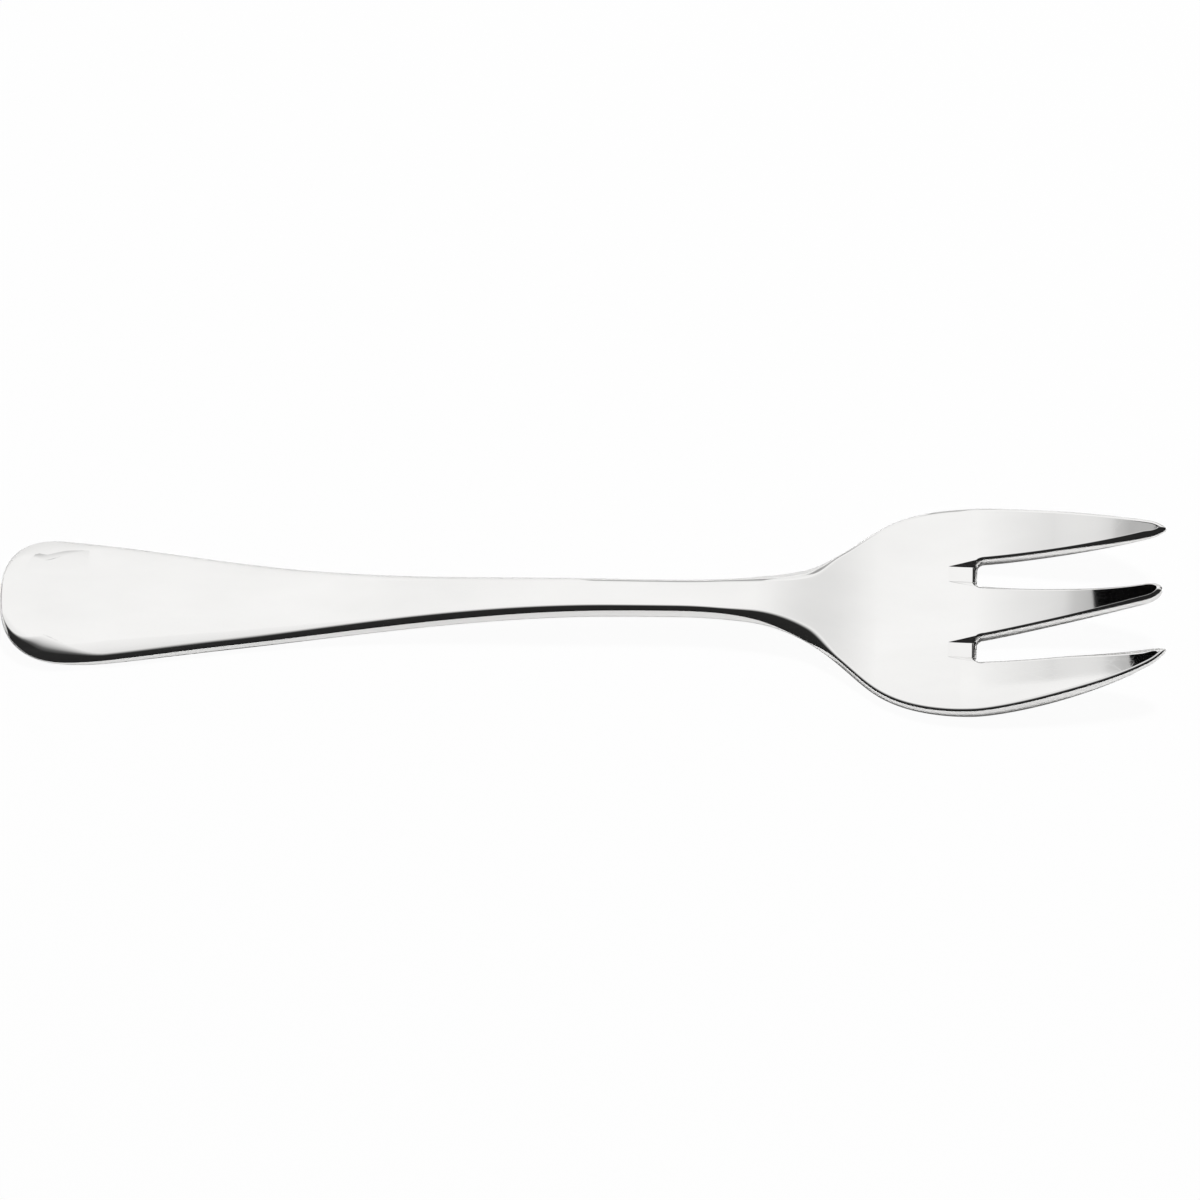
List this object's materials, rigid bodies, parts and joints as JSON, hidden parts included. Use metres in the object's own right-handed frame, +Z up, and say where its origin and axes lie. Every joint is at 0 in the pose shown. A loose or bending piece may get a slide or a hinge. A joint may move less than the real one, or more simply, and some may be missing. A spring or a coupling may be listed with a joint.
{
  "type": "oyster fork",
  "caption": "Small polished steel table fork with a teardrop handle, slim arched neck, wide shallow head and short broad tines, for lifting oysters and other shellfish from the shell.",
  "frame": {"origin": "on the table that the fork lies on, under the middle of its length and width", "axes": "+X from the handle's end to the tine tips, +Y across the fork, +Z up from the table, hollow side of the head upwards"},
  "size_m": [0.145, 0.0292, 0.0088],
  "materials": {
    "polished_steel": "mirror-polished stainless steel"
  },
  "bodies": {
    "root": {"fork": "polished_steel"}
  },
  "joints": []
}
